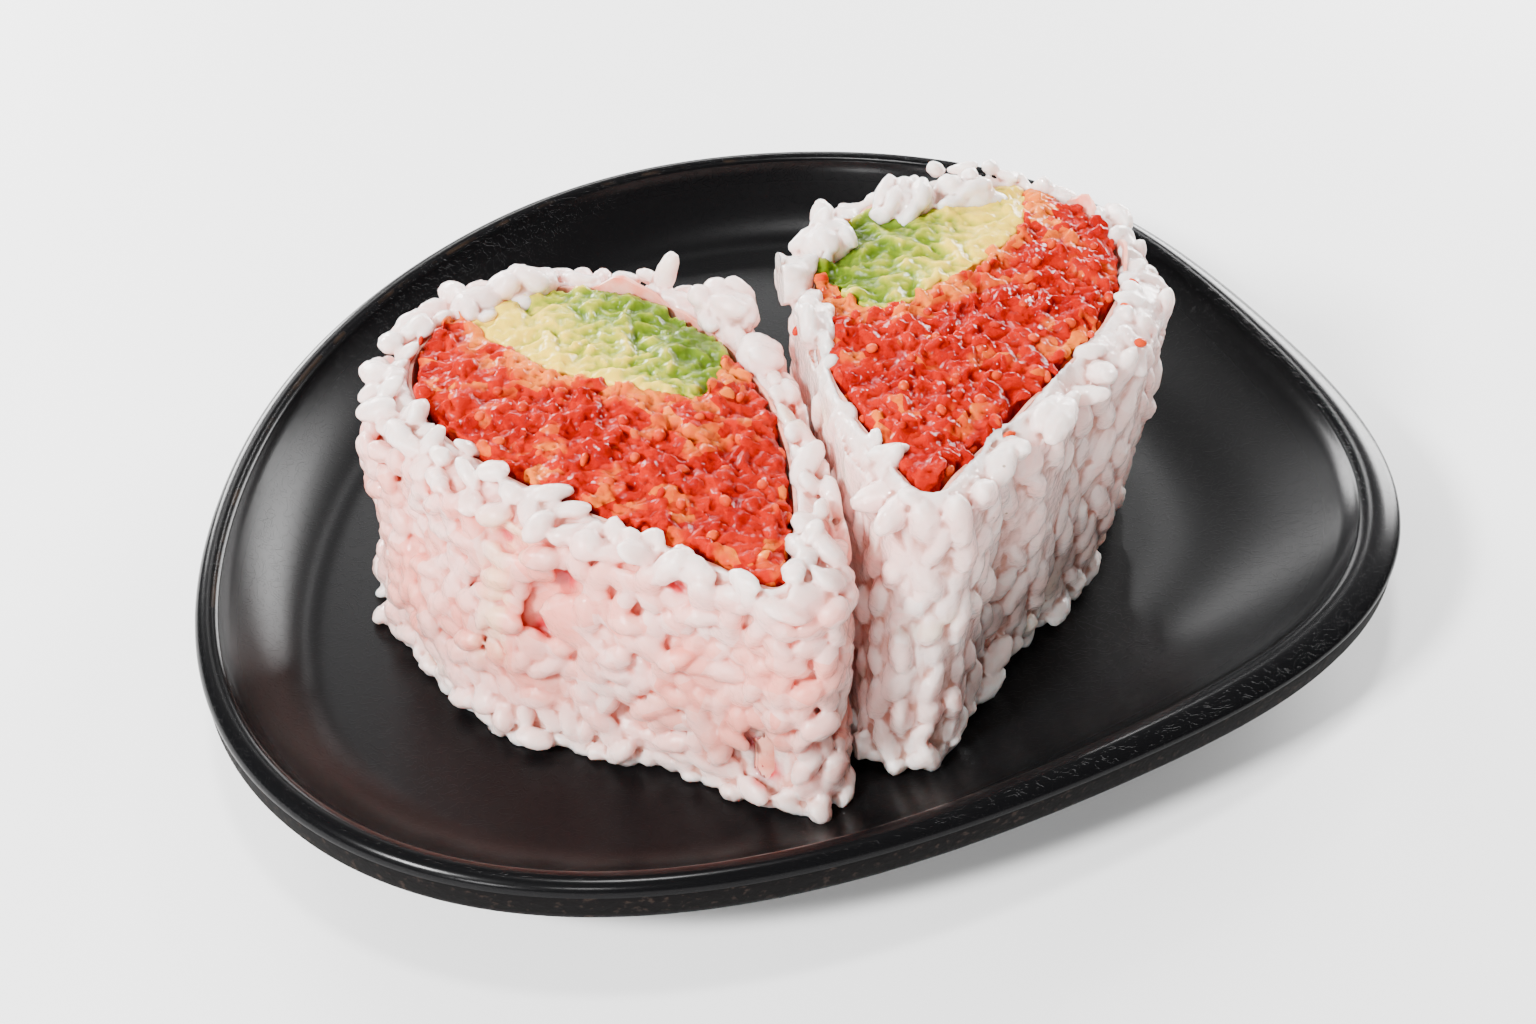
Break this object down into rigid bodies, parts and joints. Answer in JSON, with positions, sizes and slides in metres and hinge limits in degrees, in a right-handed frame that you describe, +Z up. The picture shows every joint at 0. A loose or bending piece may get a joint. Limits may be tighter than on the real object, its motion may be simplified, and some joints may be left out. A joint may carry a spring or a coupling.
{
  "type": "plate of sushi rolls",
  "caption": "Rice-coated sushi roll cut in halves set as a heart, with avocado and red seafood filling, on a black pebble-shaped plate.",
  "frame": {"origin": "on the table, under the middle of the plate's bounding box", "axes": "+Z up; +Y away from the heart's point, -Y towards the point and the viewer; +X to the viewer's right, towards the taller half"},
  "size_m": [0.1521, 0.1523, 0.0464],
  "materials": {
    "plate": "black satin glaze on stoneware, bare and speckled on the outer edge",
    "rice": "moist cooked rice, slightly translucent, faintly pink",
    "wrapper": "thin pink soy wrapper, moist",
    "avocado": "ripe avocado, creamy and moist",
    "red_filling": "minced seafood in red sauce, wet and granular"
  },
  "bodies": {
    "root": {"plate": "plate", "left_rice": "rice", "left_wrapper": "wrapper", "left_avocado": "avocado", "left_red_filling": "red_filling", "right_rice": "rice", "right_wrapper": "wrapper", "right_avocado": "avocado", "right_red_filling": "red_filling"}
  },
  "joints": []
}
